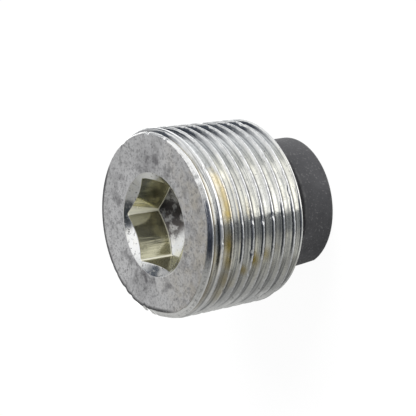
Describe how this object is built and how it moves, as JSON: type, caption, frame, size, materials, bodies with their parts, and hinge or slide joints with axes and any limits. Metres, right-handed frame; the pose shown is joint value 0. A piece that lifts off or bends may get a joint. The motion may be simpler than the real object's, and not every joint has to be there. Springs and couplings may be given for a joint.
{
  "type": "magnetic drain plug",
  "caption": "Taper-threaded hexagon socket drain plug with a disc magnet on its inner end, for an oil sump, gearbox or axle port.",
  "frame": {"origin": "on the plug's axis, in the plane of the magnet's end, which the plug stands on", "axes": "+Z along the plug's axis, from the magnet to the socket face; a corner of the hexagon socket points along +X"},
  "size_m": [0.0268, 0.0268, 0.0245],
  "materials": {
    "zinc_plated_steel": "bright zinc plating, turned and lightly worn",
    "adhesive": "dark cured adhesive",
    "ferrite": "matte pressed ferrite"
  },
  "bodies": {
    "root": {"plug_body": "zinc_plated_steel", "bond_line": "adhesive", "magnet": "ferrite"}
  },
  "joints": []
}
